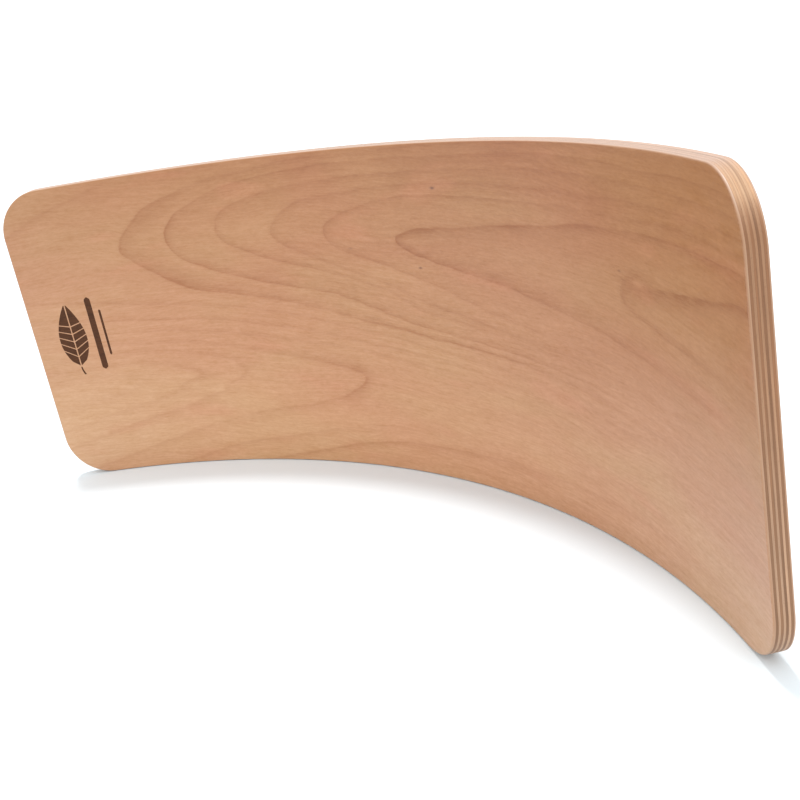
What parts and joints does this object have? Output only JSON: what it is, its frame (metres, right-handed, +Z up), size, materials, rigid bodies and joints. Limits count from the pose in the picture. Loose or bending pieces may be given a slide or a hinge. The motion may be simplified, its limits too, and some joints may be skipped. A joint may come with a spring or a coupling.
{
  "type": "balance board",
  "caption": "Curved balance and rocker board, bent from glued beech veneers into one wide shallow arc with rounded corners; its convex side rocks on the floor.",
  "frame": {"origin": "middle of the board's bounding box at floor level, with the board standing on one long edge", "axes": "+X along the chord of the curve, +Y towards the convex rocking side, +Z up across the board's width"},
  "size_m": [0.799, 0.163, 0.3],
  "materials": {
    "beech_face": "satin clear lacquer on rotary-cut beech, grain along the board",
    "beech_core_light": "sanded veneer edge, clear lacquer",
    "beech_core_dark": "sanded end-grain veneer edge, clear lacquer",
    "glue": "cured resin glue film, thin and brown",
    "burnt_mark": "shallow scorched emblem in the face veneer"
  },
  "bodies": {
    "root": {"concave_face_veneer": "beech_face", "core_veneer_2": "beech_core_dark", "core_veneer_3": "beech_core_light", "core_veneer_4": "beech_core_dark", "core_veneer_5": "beech_core_light", "core_veneer_6": "beech_core_dark", "core_veneer_7": "beech_core_light", "core_veneer_8": "beech_core_dark", "convex_face_veneer": "beech_face", "glue_film_1": "glue", "glue_film_2": "glue", "glue_film_3": "glue", "glue_film_4": "glue", "glue_film_5": "glue", "glue_film_6": "glue", "glue_film_7": "glue", "glue_film_8": "glue"}
  },
  "joints": []
}
